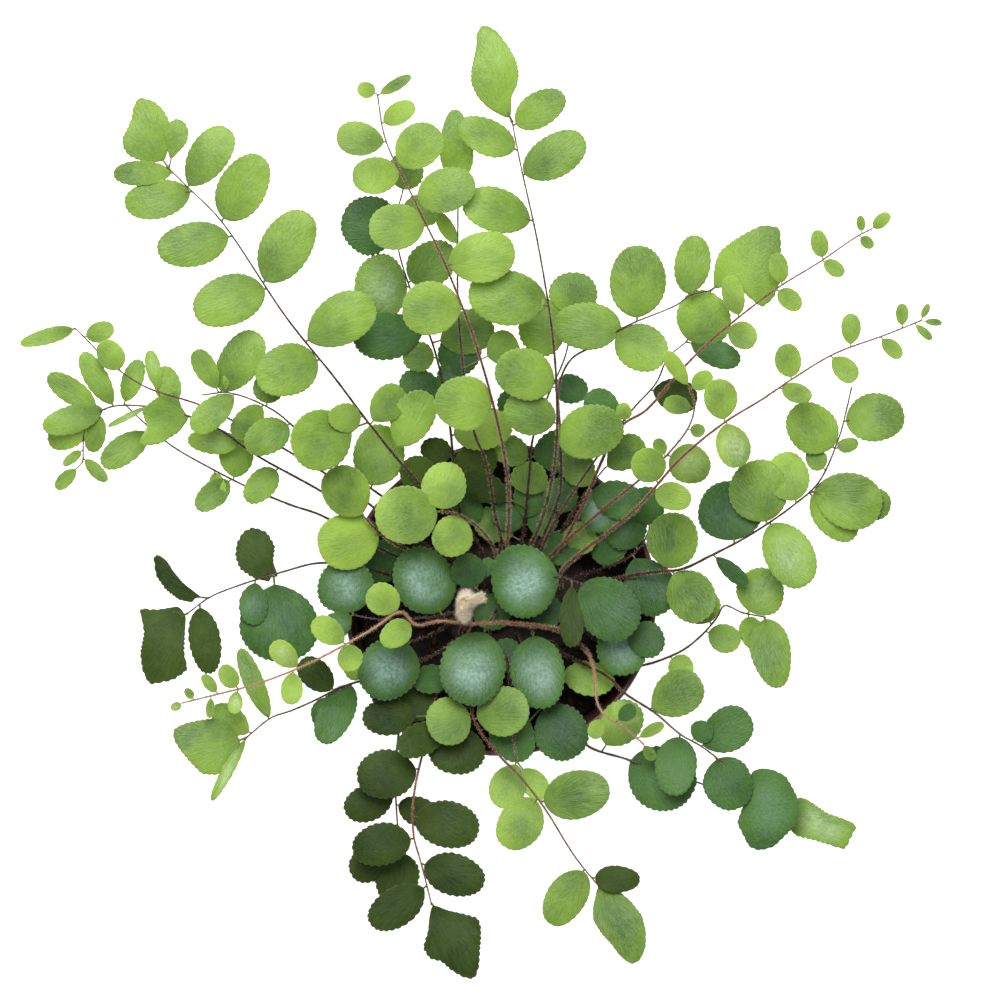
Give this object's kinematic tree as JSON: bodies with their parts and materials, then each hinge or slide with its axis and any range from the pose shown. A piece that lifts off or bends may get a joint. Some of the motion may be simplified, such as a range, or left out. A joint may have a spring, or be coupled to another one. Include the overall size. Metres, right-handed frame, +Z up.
{
  "type": "potted button fern",
  "caption": "Button fern with round leathery leaflets on dark wiry arching fronds, growing from a scaly rhizome in a round tapered nursery pot.",
  "frame": {"origin": "centre of the pot's flat underside", "axes": "+Z up along the pot's axis; +Y towards the longest, topmost frond; +X to its right, seen from above"},
  "size_m": [0.3072, 0.319, 0.1812],
  "materials": {
    "pot": "satin moulded plastic, dark reddish brown",
    "potting_mix": "rough, damp, near black with reddish bits",
    "rhizome": "rough, clothed in brown scales",
    "young_frond": "soft matte yellow-green leaflets, tan to brown bristly rachis",
    "mid_frond": "satin mid-green leaflets, dark brown rachis",
    "old_frond": "leathery dark blue-green leaflets with a pale sheen, dark brown rachis",
    "crozier": "furled young frond covered in cream scales"
  },
  "bodies": {
    "root": {"pot": "pot", "potting_mix": "potting_mix", "rhizome": "rhizome", "frond_north": "mid_frond", "frond_north_hairy": "young_frond", "frond_north_behind": "young_frond", "frond_north_dark": "old_frond", "frond_northwest": "mid_frond", "frond_west_upper": "mid_frond", "frond_west_long": "mid_frond", "frond_west_far": "young_frond", "frond_west_lower": "mid_frond", "frond_west_dark": "old_frond", "frond_west_hairy": "young_frond", "frond_southwest": "mid_frond", "frond_south_dark": "old_frond", "frond_south_dark_low": "old_frond", "frond_south_bright": "young_frond", "frond_south_pale": "young_frond", "frond_southeast": "mid_frond", "frond_southeast_low": "old_frond", "frond_southeast_hairy": "young_frond", "frond_east_low": "mid_frond", "frond_east": "mid_frond", "frond_east_long": "young_frond", "frond_northeast_broad": "mid_frond", "frond_northeast_short": "mid_frond", "frond_northeast_long": "young_frond", "frond_northeast_curled": "young_frond", "frond_west_middle": "young_frond", "frond_west_inner": "young_frond", "frond_crown_west": "old_frond", "frond_crown_inner": "old_frond", "frond_crown_southwest": "old_frond", "frond_crown_south": "old_frond", "frond_crown_south_low": "old_frond", "frond_crown_centre": "old_frond", "frond_low_north": "old_frond", "frond_low_northeast": "old_frond", "frond_low_east": "old_frond", "frond_low_southeast": "old_frond", "frond_low_south": "old_frond", "frond_low_southwest": "old_frond", "crozier": "crozier"}
  },
  "joints": []
}
